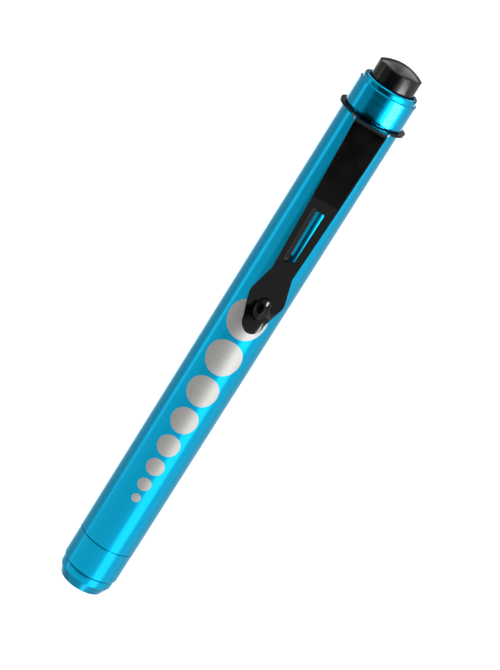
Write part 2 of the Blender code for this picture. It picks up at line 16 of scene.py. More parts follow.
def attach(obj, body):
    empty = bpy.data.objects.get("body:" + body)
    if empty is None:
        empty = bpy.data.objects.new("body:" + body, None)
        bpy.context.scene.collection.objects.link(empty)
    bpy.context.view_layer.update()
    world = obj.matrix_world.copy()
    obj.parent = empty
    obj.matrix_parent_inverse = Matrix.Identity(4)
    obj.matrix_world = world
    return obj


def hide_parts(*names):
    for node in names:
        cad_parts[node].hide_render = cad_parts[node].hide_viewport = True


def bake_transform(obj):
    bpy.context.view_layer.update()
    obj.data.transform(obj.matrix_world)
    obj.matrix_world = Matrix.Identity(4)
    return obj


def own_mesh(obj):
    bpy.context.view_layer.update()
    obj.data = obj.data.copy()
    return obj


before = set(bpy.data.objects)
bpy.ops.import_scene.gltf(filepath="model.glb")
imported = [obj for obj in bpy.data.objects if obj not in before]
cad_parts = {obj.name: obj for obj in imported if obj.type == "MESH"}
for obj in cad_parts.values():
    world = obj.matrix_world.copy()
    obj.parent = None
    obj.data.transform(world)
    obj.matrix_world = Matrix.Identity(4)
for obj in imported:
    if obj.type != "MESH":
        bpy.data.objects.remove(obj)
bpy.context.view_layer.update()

MM = 0.001
STEPS = 128  # points round a turned piece
FLOOR_DROP = 6.3  # leaves room for the head when it is screwed out

# ------------------------------------------------------------------- sizes

BODY_RADIUS = 6.5
HEAD_RADIUS = 6.44
NOSE_RADIUS = 6.1
NOSE_RIM_RADIUS = 5.03
NOSE_HOLE_RADIUS = 2.9
NOSE_CONE_TOP_Z = 2.3
NOSE_TOP_Z = 4.0
HEAD_BOTTOM_Z = 4.15
HEAD_TOP_Z = 11.65
BARREL_BOTTOM_Z = 11.8
BARREL_TOP_Z = 119.1
BARREL_BORE_RADIUS = 5.6
CAP_BOTTOM_Z = 120.2
CAP_SHOULDER_Z = 125.85
CAP_COLLAR_RADIUS = 6.1
CAP_TOP_Z = 127.15
SPIGOT_RADIUS = 5.3
THREAD_DEPTH = 0.4
THREAD_PITCH = 1.0
HEAD_SPIGOT_TOP_Z = 17.6
CAP_SPIGOT_BOTTOM_Z = 112.0
HOLDER_BOTTOM_Z = 10.9
SWITCH_FLANGE_RADIUS = 5.45
GAUGE_TURN = math.radians(-1.5)
GAUGE_BOTTOM_Z = 24.45
GAUGE_GAP = 1.05

CELL_LENGTH = 44.5
CELL_RADIUS = 5.2
FRONT_CELL_BOTTOM_Z = 17.8
REAR_CELL_BOTTOM_Z = FRONT_CELL_BOTTOM_Z + CELL_LENGTH + 0.3

CLIP_THICKNESS = 0.5
CLIP_LEVEL_Z = 119.65  # middle of the washer's metal
CLIP_RING_OUTER_RADIUS = 7.5
CLIP_RING_INNER_RADIUS = 5.6
CLIP_ROOT_HALF_WIDTH = 4.3
CLIP_TOP_Z = 119.4
CLIP_TOP_HALF_WIDTH = 3.66
CLIP_TOP_REACH = 10.2
CLIP_BEND_RADIUS = 0.6
CLIP_SPLIT_Z = 118.2
CLIP_KINK_Z = 101.5
CLIP_KINK_REACH = 10.0
CLIP_WAIST_Z = 84.2
CLIP_WAIST_HALF_WIDTH = 2.43
CLIP_FLARE_Z = 77.9
CLIP_FLARE_HALF_WIDTH = 4.03
CLIP_LOW_Z = 76.8
CLIP_LOW_REACH = 7.7
CLIP_TIP_Z = 70.2
CLIP_TIP_REACH = 10.1
CLIP_TIP_RADIUS = 2.3
CLIP_LEAN_DEG = 0.95
DIMPLE_Z = 75.6
DIMPLE_OFFSET = 0.15
DIMPLE_HEIGHT = 0.8
DIMPLE_HALF_WIDTH = 1.35
DIMPLE_HALF_LENGTH = 2.1
SLOT_TOP_Z = 99.6
SLOT_BOTTOM_Z = 87.4
SLOT_TOP_HALF_WIDTH = 0.95
SLOT_BOTTOM_HALF_WIDTH = 0.71
SLOT_OFFSET = 0.2
SLOT_CORNER = 0.35

# --------------------------------------------------------------- materials


class Nodes:
    """A small helper around a node tree."""

    def __init__(self, tree):
        self.tree = tree

    def new(self, kind, inputs=(), **settings):
        node = self.tree.nodes.new(kind)
        for key, value in settings.items():
            setattr(node, key, value)
        for key, value in dict(inputs).items():
            self.put(node.inputs[key], value)
        return node

    def put(self, socket, value):
        if isinstance(value, bpy.types.NodeSocket):
            self.tree.links.new(value, socket)
        else:
            socket.default_value = value

    def math(self, operation, a, b=0.0):
        return self.new("ShaderNodeMath", {0: a, 1: b}, operation=operation).outputs[0]

    def add(self, a, b):
        return self.math("ADD", a, b)

    def times(self, a, b):
        return self.math("MULTIPLY", a, b)

    def step(self, value, low, high, out_low=0.0, out_high=1.0):
        """A smooth step from out_low to out_high as the value goes from low to high."""
        node = self.new("ShaderNodeMapRange", interpolation_type="SMOOTHSTEP")
        for key, item in zip((0, 1, 2, 3, 4), (value, low, high, out_low, out_high)):
            self.put(node.inputs[key], item)
        return node.outputs[0]

    def band(self, value, low, high, soft):
        """1 between low and high, and 0 outside, with soft edges."""
        up = self.step(value, low - soft, low + soft)
        down = self.step(value, high - soft, high + soft, 1.0, 0.0)
        return self.times(up, down)

    def noise(self, coords, scale, detail=2.0, roughness=0.5):
        node = self.new(
            "ShaderNodeTexNoise",
            {"Vector": coords, "Scale": scale, "Detail": detail, "Roughness": roughness},
        )
        return node.outputs[0]

    def mix(self, factor, a, b):
        node = self.new("ShaderNodeMix", data_type="RGBA")
        for key, item in ((0, factor), (6, a), (7, b)):
            self.put(node.inputs[key], item)
        return node.outputs[2]

    def rings(self, coords):
        """Coordinates that only change along Z, so that a noise makes rings round the pen."""
        split = self.new("ShaderNodeSeparateXYZ", {0: coords})
        return self.new("ShaderNodeCombineXYZ", {2: split.outputs[2]}).outputs[0]

    def bump(self, shader, height, strength, distance=0.00001):
        settings = {"Height": height, "Strength": strength, "Distance": distance}
        self.put(shader.inputs["Normal"], self.new("ShaderNodeBump", settings).outputs[0])


def new_material(name, **values):
    """A Principled material: returns it with its tree, its shader and its object coordinates."""
    material = bpy.data.materials.new(name)
    material.use_nodes = True
    nodes = Nodes(material.node_tree)
    shader = material.node_tree.nodes["Principled BSDF"]
    for key, value in values.items():
        shader.inputs[key.replace("_", " ")].default_value = value
    coords = nodes.new("ShaderNodeTexCoord").outputs["Object"]
    return material, nodes, shader, coords


def rgb(*value):
    return (*value, 1.0)


def anodised(name, dark, light, roughness):
    """Dyed aluminium: fine rings left by the lathe, a faint cloudiness and a thin clear seal."""
    material, nodes, shader, coords = new_material(name, Metallic=1.0, Coat_Weight=0.12)
    shader.inputs["Coat Roughness"].default_value = 0.06
    rings = nodes.rings(coords)
    fine = nodes.noise(rings, 7000.0, 3.0, 0.7)
    broad = nodes.noise(rings, 1500.0, 2.0, 0.5)
    cloud = nodes.noise(coords, 160.0, 3.0, 0.6)
    grain = nodes.noise(coords, 5200.0, 2.0, 0.6)
    tone = nodes.add(nodes.times(fine, 0.35), nodes.times(broad, 0.3))
    tone = nodes.add(tone, nodes.times(cloud, 0.35))
    nodes.put(shader.inputs["Base Color"], nodes.mix(tone, rgb(*dark), rgb(*light)))
    rough = nodes.step(nodes.add(broad, grain), 0.6, 1.4, roughness - 0.04, roughness + 0.05)
    nodes.put(shader.inputs["Roughness"], rough)
    height = nodes.add(fine, nodes.times(broad, 0.8))
    nodes.bump(shader, nodes.add(height, nodes.times(grain, 0.25)), 0.09)
    return material


def etched(name):
    """Where the dye was burnt away: bare, satin, slightly grainy aluminium."""
    material, nodes, shader, coords = new_material(name, Metallic=0.75)
    scan = nodes.noise(nodes.rings(coords), 4200.0, 2.0, 0.6)
    grain = nodes.noise(coords, 6500.0, 3.0, 0.7)
    tone = nodes.times(nodes.add(scan, grain), 0.5)
    colour = nodes.mix(nodes.step(tone, 0.3, 0.7), rgb(0.38, 0.38, 0.365), rgb(0.49, 0.49, 0.475))
    nodes.put(shader.inputs["Base Color"], colour)
    nodes.put(shader.inputs["Roughness"], nodes.step(grain, 0.3, 0.7, 0.36, 0.48))
    nodes.bump(shader, tone, 0.3)
    return material


def glossy_black(name, base, roughness, specular, peel):
    """Black plating or plastic: a little orange peel, fine dust and faint smears."""
    material, nodes, shader, coords = new_material(name)
    shader.inputs["Specular IOR Level"].default_value = specular
    waves = nodes.noise(coords, 900.0, 2.0, 0.5)
    dust = nodes.noise(coords, 9000.0, 2.0, 0.6)
    specks = nodes.step(dust, 0.68, 0.74)
    smear = nodes.noise(coords, 220.0, 3.0, 0.6)
    dusty = rgb(*[value + 0.006 for value in base])
    nodes.put(shader.inputs["Base Color"], nodes.mix(specks, rgb(*base), dusty))
    rough = nodes.step(smear, 0.35, 0.7, roughness, roughness + 0.08)
    nodes.put(shader.inputs["Roughness"], rough)
    nodes.bump(shader, waves, peel)
    return material, nodes, shader


def plated(name):
    """Glossy black plating with a coat that shines where it is seen at a low angle."""
    material, nodes, shader = glossy_black(name, (0.0006, 0.0006, 0.0008), 0.1, 0.2, 0.025)
    facing = nodes.new("ShaderNodeLayerWeight", {"Blend": 0.5}).outputs["Facing"]
    nodes.put(shader.inputs["Coat Weight"], nodes.step(facing, 0.5, 0.85, 0.0, 0.35))
    shader.inputs["Coat IOR"].default_value = 2.2
    shader.inputs["Coat Roughness"].default_value = 0.04
    return material


def worn_metal(name, dark, light, roughness):
    """Bare plated metal or brass, with drawn lines round the axis and dull patches."""
    material, nodes, shader, coords = new_material(name, Metallic=1.0)
    patches = nodes.noise(coords, 700.0, 4.0, 0.6)
    lines = nodes.noise(nodes.rings(coords), 6000.0, 2.0, 0.6)
    nodes.put(
        shader.inputs["Base Color"],
        nodes.mix(nodes.step(patches, 0.3, 0.7), rgb(*dark), rgb(*light)),
    )
    nodes.put(
        shader.inputs["Roughness"], nodes.step(patches, 0.3, 0.7, roughness + 0.1, roughness)
    )
    nodes.bump(shader, lines, 0.15)
    return material


def moulded(name, dark, light, roughness, grain_size=2500.0):
    """Moulded plastic or rubber with a fine spark-eroded grain."""
    material, nodes, shader, coords = new_material(name)
    grain = nodes.noise(coords, grain_size, 3.0, 0.6)
    cloud = nodes.noise(coords, 300.0, 2.0, 0.5)
    nodes.put(
        shader.inputs["Base Color"],
        nodes.mix(nodes.step(cloud, 0.3, 0.7), rgb(*dark), rgb(*light)),
    )
    nodes.put(
        shader.inputs["Roughness"], nodes.step(grain, 0.3, 0.7, roughness - 0.06, roughness + 0.06)
    )
    nodes.bump(shader, grain, 0.25, 0.00002)
    return material


def clear(name, tint, roughness):
    """Clear acrylic or epoxy with a faint ripple in its surface."""
    material, nodes, shader, coords = new_material(name, IOR=1.49)
    shader.inputs["Transmission Weight"].default_value = 1.0
    shader.inputs["Base Color"].default_value = rgb(*tint)
    ripple = nodes.noise(coords, 700.0, 2.0, 0.5)
    nodes.put(shader.inputs["Roughness"], nodes.step(ripple, 0.3, 0.7, roughness, roughness + 0.03))
    nodes.bump(shader, ripple, 0.05)
    return material


def sleeve(name):
    """A cell's shrink sleeve: dark and creased, with a copper band near the raised terminal."""
    material, nodes, shader, coords = new_material(name)
    height = nodes.new("ShaderNodeSeparateXYZ", {0: coords}).outputs[2]
    bands = []
    for bottom in (FRONT_CELL_BOTTOM_Z, REAR_CELL_BOTTOM_Z):
        low = (bottom + 3.2) * MM
        bands.append(nodes.band(height, low, low + 8.0 * MM, 0.03 * MM))
    copper = nodes.add(*bands)
    crease = nodes.noise(coords, 500.0, 3.0, 0.6)
    body = nodes.mix(nodes.step(crease, 0.3, 0.7), rgb(0.02, 0.022, 0.025), rgb(0.03, 0.03, 0.034))
    nodes.put(shader.inputs["Base Color"], nodes.mix(copper, body, rgb(0.55, 0.27, 0.12)))
    nodes.put(shader.inputs["Metallic"], nodes.times(copper, 0.8))
    nodes.put(shader.inputs["Roughness"], nodes.step(crease, 0.3, 0.7, 0.28, 0.4))
    nodes.bump(shader, crease, 0.3, 0.00003)
    return material


BLUE = anodised("blue_anodising", (0.0, 0.37, 0.625), (0.0, 0.41, 0.69), 0.2)
SILVER = etched("etched_aluminium")
PLATING = plated("black_plating")
BUTTON_BLACK = glossy_black("button_plastic", (0.0015, 0.0015, 0.002), 0.13, 0.35, 0.12)[0]
NYLON = moulded("nylon", (0.62, 0.6, 0.55), (0.72, 0.71, 0.67), 0.5)
RUBBER = moulded("rubber", (0.012, 0.012, 0.012), (0.02, 0.02, 0.02), 0.6)
BOARD = moulded("solder_mask", (0.01, 0.12, 0.04), (0.015, 0.17, 0.06), 0.35)
LENS = clear("lens_acrylic", (0.95, 0.98, 1.0), 0.02)
EPOXY = clear("led_epoxy", (0.98, 0.97, 0.9), 0.03)
PHOSPHOR = moulded("led_phosphor", (0.85, 0.6, 0.05), (0.95, 0.72, 0.1), 0.6)
CHROME = worn_metal("vacuum_chrome", (0.82, 0.83, 0.85), (0.93, 0.93, 0.94), 0.05)
BRASS = worn_metal("brass", (0.55, 0.36, 0.12), (0.78, 0.55, 0.24), 0.25)
NICKEL = worn_metal("nickel", (0.5, 0.48, 0.45), (0.7, 0.68, 0.64), 0.22)
SLEEVE = sleeve("cell_wrapper")

# ----------------------------------------------------------------- helpers


def direction(turn_deg, rise_deg):
    """A unit vector, by its turn from the clip's side (-Y) towards +X and its rise above level."""
    turn, rise = math.radians(turn_deg), math.radians(rise_deg)
    return Vector(
        (math.sin(turn) * math.cos(rise), -math.cos(turn) * math.cos(rise), math.sin(rise))
    )


def make_object(name, mesh, material, body=None, stands_for=()):
    obj = bpy.data.objects.new(name, mesh)
    bpy.context.scene.collection.objects.link(obj)
    mesh.materials.append(material)
    if body:
        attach(obj, body)
    if stands_for:
        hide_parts(*stands_for)
    return obj


def finish_mesh(shape, name, sharp_deg=40.0):
    """Turns a bmesh into a smooth-shaded mesh whose hard corners stay hard."""
    bmesh.ops.recalc_face_normals(shape, faces=shape.faces[:])
    mesh = bpy.data.meshes.new(name)
    shape.to_mesh(mesh)
    shape.free()
    mesh.shade_smooth()
    mesh.set_sharp_from_angle(angle=math.radians(sharp_deg))
    return mesh


def weigh_normals(obj):
    modifier = obj.modifiers.new("Weighted", "WEIGHTED_NORMAL")
    modifier.keep_sharp = True
    modifier.weight = 80


def rounded(corners, closed):
    """Replaces each (r, z, fillet) corner of a profile by a small arc."""
    count = len(corners)
    path = []
    for i, (r, z, fillet) in enumerate(corners):
        ends = i in (0, count - 1) and not closed
        if fillet <= 0.0 or ends:
            path.append((r, z))
            continue
        here = Vector((r, z))
        before = Vector(corners[i - 1][:2]) - here
        after = Vector(corners[(i + 1) % count][:2]) - here
        angle = before.angle(after)
        cut = min(fillet / math.tan(0.5 * angle), 0.49 * before.length, 0.49 * after.length)
        radius = cut * math.tan(0.5 * angle)
        start = here + before.normalized() * cut
        end = here + after.normalized() * cut
        centre = here + (before.normalized() + after.normalized()).normalized() * (
            radius / math.sin(0.5 * angle)
        )
        turn = math.pi - angle
        pieces = max(2, round(turn / math.radians(18.0)))
        from_centre, to_centre = start - centre, end - centre
        for k in range(pieces + 1):
            share = k / pieces
            a = math.sin((1.0 - share) * turn) / math.sin(turn) if turn > 1e-4 else 1.0 - share
            b = math.sin(share * turn) / math.sin(turn) if turn > 1e-4 else share
            spot = centre + from_centre * a + to_centre * b
            path.append((spot.x, spot.y))
    return path


def lathe(name, corners, material, body, stands_for, closed=False, thread=None, steps=STEPS):
    """Turns a profile round Z. thread is (bottom, top, radius, depth) of a helical groove."""
    path = rounded(corners, closed)
    if thread:
        path = with_thread_rows(path, thread)
    shape = bmesh.new()
    rings = []
    for r, z in path:
        if r < 1e-6:
            rings.append([shape.verts.new((0.0, 0.0, z * MM))])
            continue
        ring = []
        for k in range(steps):
            angle = math.tau * k / steps
            radius = r + groove(thread, r, z, angle)
            place = (radius * math.cos(angle) * MM, radius * math.sin(angle) * MM, z * MM)
            ring.append(shape.verts.new(place))
        rings.append(ring)
    pairs = list(zip(rings, rings[1:]))
    if closed:
        pairs.append((rings[-1], rings[0]))
    for one, two in pairs:
        for k in range(steps):
            after = (k + 1) % steps
            quad = (one[k % len(one)], one[after % len(one)], two[after % len(two)], two[k % len(two)])
            corners_used = list(dict.fromkeys(quad))
            if len(corners_used) > 2:
                shape.faces.new(corners_used)
    obj = make_object(name, finish_mesh(shape, name), material, body, stands_for)
    weigh_normals(obj)
    return obj


def with_thread_rows(path, thread):
    """Adds a row to the profile every twelfth of a pitch along the threaded wall."""
    radius = thread[2]
    rows = []
    for (r0, z0), (r1, z1) in zip(path, path[1:] + path[:1]):
        rows.append((r0, z0))
        if abs(r0 - radius) > 1e-4 or abs(r1 - radius) > 1e-4 or abs(z1 - z0) < THREAD_PITCH:
            continue
        count = int(abs(z1 - z0) / (THREAD_PITCH / 12.0))
        rows += [(radius, z0 + (z1 - z0) * k / count) for k in range(1, count)]
    return rows


def groove(thread, r, z, angle):
    """How far the thread moves a point in or out."""
    if not thread:
        return 0.0
    bottom, top, radius, depth = thread
    if abs(r - radius) > 1e-4 or not bottom < z < top:
        return 0.0
    turn = (z / THREAD_PITCH - angle / math.tau) % 1.0
    flank = 1.0 - abs(2.0 * turn - 1.0)
    flank = min(max(1.35 * flank - 0.15, 0.0), 1.0)
    fade = min((z - bottom) / THREAD_PITCH, (top - z) / THREAD_PITCH, 1.0)
    return -depth * flank * max(fade, 0.0)


def ring_of_wire(name, radius, wire, z, body, stands_for):
    """A rubber O-ring or gasket: a round wire bent into a ring."""
    profile = []
    for k in range(16):
        angle = math.tau * k / 16
        profile.append((radius + 0.5 * wire * math.cos(angle), z + 0.5 * wire * math.sin(angle), 0.0))
    return lathe(name, profile, RUBBER, body, stands_for, closed=True)


def wire_mesh(name, points, radius, sides=12):
    """A round wire along a line of points, with flat closed ends."""
    shape = bmesh.new()
    rings = []
    side = Vector((0.0, 0.0, 1.0))
    for i, point in enumerate(points):
        along = (points[min(i + 1, len(points) - 1)] - points[max(i - 1, 0)]).normalized()
        side = (side - along * side.dot(along)).normalized()
        other = along.cross(side)
        ring = []
        for k in range(sides):
            angle = math.tau * k / sides
            offset = (side * math.cos(angle) + other * math.sin(angle)) * radius
            ring.append(shape.verts.new((point + offset) * MM))
        rings.append(ring)
    for one, two in zip(rings, rings[1:]):
        for k in range(sides):
            after = (k + 1) % sides
            shape.faces.new((one[k], one[after], two[after], two[k]))
    shape.faces.new(rings[0])
    shape.faces.new(rings[-1])
    return finish_mesh(shape, name, 60.0)


def spring(name, heights, radii, wire, turns, body):
    """A compression spring with a closed, flat turn at each end."""
    low, high = heights[0] + 0.5 * wire, heights[1] - 0.5 * wire
    points = []
    count = int(turns * 40)
    flat = 0.85 / turns
    for i in range(count + 1):
        along = i / count
        rise = min(max((along - flat) / (1.0 - 2.0 * flat), 0.0), 1.0)
        lift = 1.1 * wire * (min(along / flat, 1.0) + max((along - 1.0 + flat) / flat, 0.0))
        z = low + lift + rise * (high - low - 2.2 * wire)
        radius = radii[0] + (radii[1] - radii[0]) * along
        angle = math.tau * turns * along
        points.append(Vector((radius * math.cos(angle), radius * math.sin(angle), z)))
    mesh = wire_mesh(name, points, 0.5 * wire)
    return make_object(name, mesh, NICKEL, body, (name.replace("_coil", "_spring"),))


# ------------------------------------------------------------------ barrel


def make_barrel():
    mouth = 0.45
    bore = BARREL_BORE_RADIUS
    lathe(
        "barrel",
        [
            (BODY_RADIUS, BARREL_TOP_Z, 0.1),
            (BODY_RADIUS, BARREL_BOTTOM_Z, 0.1),
            (bore + mouth, BARREL_BOTTOM_Z, 0.05),
            (bore, BARREL_BOTTOM_Z + mouth, 0.05),
            (bore, BARREL_TOP_Z - mouth, 0.05),
            (bore + mouth, BARREL_TOP_Z, 0.05),
        ],
        BLUE,
        "barrel",
        ("barrel_tube",),
        closed=True,
    )
    make_gauge()


def make_gauge():
    """The pupil gauge: eight etched discs, 2 to 9 mm across, on the clip's side of the barrel."""
    bottom = GAUGE_BOTTOM_Z
    for diameter in range(2, 10):
        radius = 0.5 * diameter
        make_dot(f"gauge_dot_{diameter}mm", radius, bottom + radius)
        bottom += diameter + GAUGE_GAP


def make_dot(name, radius, height):
    """A thin disc wrapped round the barrel, with most of its thickness sunk in."""
    proud, sunk = 0.02, -0.08
    shape = bmesh.new()
    rings = max(3, round(radius / 0.4))
    sides = 72

    def place(across, along, out):
        angle = GAUGE_TURN + across / BODY_RADIUS
        reach = (BODY_RADIUS + out) * MM
        return (reach * math.sin(angle), -reach * math.cos(angle), (height + along) * MM)

    layers = []
    for out in (proud, sunk):
        layer = [[shape.verts.new(place(0.0, 0.0, out))]]
        for ring in range(1, rings + 1):
            size = radius * ring / rings
            turns = [math.tau * k / sides for k in range(sides)]
            layer.append(
                [shape.verts.new(place(size * math.cos(a), size * math.sin(a), out)) for a in turns]
            )
        layers.append(layer)
    for layer in layers:
        for one, two in zip(layer, layer[1:]):
            for k in range(sides):
                after = (k + 1) % sides
                face = (one[k % len(one)], one[after % len(one)], two[after], two[k])
                shape.faces.new(list(dict.fromkeys(face)))
    for k in range(sides):
        after = (k + 1) % sides
        top, low = layers[0][-1], layers[1][-1]
        shape.faces.new((top[k], top[after], low[after], low[k]))
    make_object(name, finish_mesh(shape, name), SILVER, "barrel")


# -------------------------------------------------------------------- head


def make_head():
    groove_top = HEAD_TOP_Z + 1.6
    groove_bottom = groove_top - 1.0
    groove_floor = 4.45
    bezel_bore, lamp_bore, holder_bore = 5.5, 4.2, 3.6
    bore_step = 8.6
    lathe(
        "head",
        [
            (SPIGOT_RADIUS - 0.3, HEAD_SPIGOT_TOP_Z, 0.05),
            (SPIGOT_RADIUS, HEAD_SPIGOT_TOP_Z - 0.3, 0.05),
            (SPIGOT_RADIUS, groove_top, 0.08),
            (groove_floor, groove_top, 0.1),
            (groove_floor, groove_bottom, 0.1),
            (SPIGOT_RADIUS, groove_bottom, 0.08),
            (SPIGOT_RADIUS, HEAD_TOP_Z, 0.05),
            (HEAD_RADIUS, HEAD_TOP_Z, 0.12),
            (HEAD_RADIUS, HEAD_BOTTOM_Z, 0.4),
            (bezel_bore, HEAD_BOTTOM_Z, 0.05),
            (bezel_bore, bore_step, 0.1),
            (lamp_bore, bore_step, 0.05),
            (lamp_bore, HOLDER_BOTTOM_Z, 0.05),
            (holder_bore, HOLDER_BOTTOM_Z, 0.05),
            (holder_bore, HEAD_SPIGOT_TOP_Z, 0.1),
        ],
        BLUE,
        "head",
        ("head_shell",),
        closed=True,
        thread=(groove_top + 0.1, HEAD_SPIGOT_TOP_Z - 0.35, SPIGOT_RADIUS, THREAD_DEPTH),
    )
    ring_of_wire(
        "head_seal_ring",
        radius=groove_floor + 0.55,
        wire=0.8,
        z=0.5 * (groove_top + groove_bottom),
        body="head_seal",
        stands_for=("head_o_ring",),
    )
    make_nose()
    make_lamp()


def make_nose():
    """The tapered bezel, and the lens that it holds with a seal behind it."""
    sleeve, bore, sleeve_top, lip = 5.2, 4.5, 8.3, 0.8
    lathe(
        "nose_bezel",
        [
            (sleeve, sleeve_top, 0.1),
            (sleeve, NOSE_TOP_Z, 0.05),
            (NOSE_RADIUS, NOSE_TOP_Z, 0.12),
            (NOSE_RADIUS, NOSE_CONE_TOP_Z, 0.8),
            (NOSE_RIM_RADIUS, 0.0, 0.22),
            (NOSE_HOLE_RADIUS, 0.0, 0.12),
            (NOSE_HOLE_RADIUS, lip, 0.05),
            (bore, lip, 0.05),
            (bore, sleeve_top, 0.1),
        ],
        BLUE,
        "head",
        ("lens_bezel",),
        closed=True,
    )
    flange, window = 4.2, 2.6
    front, step, rear = 0.25, 1.1, 2.0
    lathe(
        "front_lens",
        [
            (0.0, rear, 0.0),
            (flange, rear, 0.1),
            (flange, step, 0.1),
            (window, step, 0.05),
            (window, front, 0.15),
            (0.0, front, 0.0),
        ],
        LENS,
        "head",
        ("lens",),
    )
    ring_of_wire(
        "lens_seal_ring", radius=3.9, wire=0.6, z=2.6, body="head", stands_for=("lens_gasket",)
    )


def make_lamp():
    mouth, throat, wall = 4.2, 1.95, 0.5
    bottom, height, rim = 3.2, 5.0, 0.6
    bowl = []
    for i in range(17):
        along = i / 16
        radius = throat + (mouth - wall - throat) * math.sqrt(1.0 - along)
        bowl.append((radius, bottom + height * along))
    corners = [(r + wall, z, 0.0) for r, z in reversed(bowl[1:])]
    corners += [(mouth, bottom + rim, 0.1), (mouth, bottom, 0.05)]
    corners += [(r, z, 0.0) for r, z in bowl]
    lathe(
        "reflector_cup", corners, CHROME, "head", ("reflector",), closed=True
    )
    make_led()
    board, board_bottom, board_top = 3.9, 9.6, 10.6
    lathe(
        "lamp_board",
        [
            (0.0, board_top, 0.0),
            (board, board_top, 0.08),
            (board, board_bottom, 0.08),
            (0.0, board_bottom, 0.0),
        ],
        BOARD,
        "head",
        ("led_board",),
    )
    holder, holder_hole, holder_top = 3.3, 1.0, 16.6
    lathe(
        "contact_holder",
        [
            (holder, holder_top, 0.3),
            (holder, HOLDER_BOTTOM_Z, 0.2),
            (holder_hole, HOLDER_BOTTOM_Z, 0.1),
            (holder_hole, holder_top, 0.25),
        ],
        NYLON,
        "head",
        ("lamp_holder",),
        closed=True,
    )
    stud, pin = 1.8, 0.7
    stud_top, stud_bottom = 17.5, 16.9
    lathe(
        "front_contact",
        [
            (0.0, stud_top, 0.0),
            (stud, stud_top, 0.3),
            (stud, stud_bottom, 0.05),
            (pin, stud_bottom, 0.05),
            (pin, HOLDER_BOTTOM_Z, 0.1),
            (0.0, HOLDER_BOTTOM_Z, 0.0),
        ],
        BRASS,
        "head",
        ("front_contact_pin",),
        steps=64,
    )


def make_led():
    """A domed lamp that points down into the reflector, with its yellow phosphor inside."""
    radius, centre = 1.55, 6.6
    flange, flange_bottom, flange_top = 2.4, 8.5, 9.3
    dome = []
    for k in range(9):
        angle = math.radians(-90.0 + 90.0 * k / 8)
        dome.append((radius * math.cos(angle), centre + radius * math.sin(angle), 0.0))
    dome[0] = (0.0, centre - radius, 0.0)
    lathe(
        "led",
        dome
        + [
            (radius, flange_bottom, 0.05),
            (flange, flange_bottom, 0.1),
            (flange, flange_top, 0.1),
            (0.0, flange_top, 0.0),
        ],
        EPOXY,
        "head",
        ("led_lamp",),
    )
    cup, cup_bottom, cup_top = 0.6, 8.0, 8.3
    lathe(
        "led_phosphor_cup",
        [(0.0, cup_bottom, 0.0), (cup, cup_bottom, 0.1), (cup, cup_top, 0.05), (0.0, cup_top, 0.0)],
        PHOSPHOR,
        "head",
        (),
        steps=48,
    )


# ------------------------------------------------------------------- cells


def make_cell(place, bottom):
    """A sleeved can with a crimped rear end and a raised terminal in front."""
    top = bottom + CELL_LENGTH
    can = bottom + 1.2
    lathe(
        f"cell_{place}",
        [
            (0.0, top, 0.0),
            (4.0, top, 0.05),
            (4.15, top - 0.25, 0.05),
            (4.7, top - 0.25, 0.1),
            (4.9, top, 0.1),
            (CELL_RADIUS, top, 0.25),
            (CELL_RADIUS, can, 0.3),
            (4.6, can, 0.1),
            (4.4, can + 0.25, 0.1),
            (0.0, can + 0.25, 0.0),
        ],
        SLEEVE,
        "barrel",
        (f"battery_{place}_cell",),
        steps=96,
    )
    lathe(
        f"cell_stud_{place}",
        [(0.0, can - 0.3, 0.0), (1.9, can - 0.3, 0.05), (1.9, bottom, 0.3), (0.0, bottom, 0.0)],
        NICKEL,
        "barrel",
        (f"battery_{place}_terminal",),
        steps=64,
    )


# ---------------------------------------------------------------- tail cap


def make_tail_cap():
    groove_bottom = BARREL_TOP_Z - 1.5
    groove_top = groove_bottom + 0.9
    groove_floor = 4.6
    bore, chamber, mouth = 4.3, 5.75, 5.15
    chamber_bottom, chamber_top = 120.6, 125.75
    lathe(
        "tail_cap",
        [
            (CAP_COLLAR_RADIUS, CAP_TOP_Z, 0.45),
            (CAP_COLLAR_RADIUS, CAP_SHOULDER_Z, 0.15),
            (BODY_RADIUS, CAP_SHOULDER_Z, 0.14),
            (BODY_RADIUS, CAP_BOTTOM_Z, 0.14),
            (SPIGOT_RADIUS, CAP_BOTTOM_Z, 0.05),
            (SPIGOT_RADIUS, groove_top, 0.08),
            (groove_floor, groove_top, 0.1),
            (groove_floor, groove_bottom, 0.1),
            (SPIGOT_RADIUS, groove_bottom, 0.08),
            (SPIGOT_RADIUS, CAP_SPIGOT_BOTTOM_Z + 0.3, 0.05),
            (SPIGOT_RADIUS - 0.3, CAP_SPIGOT_BOTTOM_Z, 0.05),
            (bore, CAP_SPIGOT_BOTTOM_Z, 0.1),
            (bore, chamber_bottom, 0.05),
            (chamber, chamber_bottom, 0.05),
            (chamber, chamber_top, 0.05),
            (mouth, chamber_top, 0.05),
            (mouth, CAP_TOP_Z, 0.2),
        ],
        BLUE,
        "tail_cap",
        ("tail_cap_shell",),
        closed=True,
        thread=(CAP_SPIGOT_BOTTOM_Z + 0.35, groove_bottom - 0.1, SPIGOT_RADIUS, THREAD_DEPTH),
    )
    ring_of_wire(
        "tail_seal_ring",
        radius=5.0,
        wire=0.6,
        z=0.5 * (groove_top + groove_bottom),
        body="tail_seal",
        stands_for=("tail_o_ring",),
    )
    make_switch()


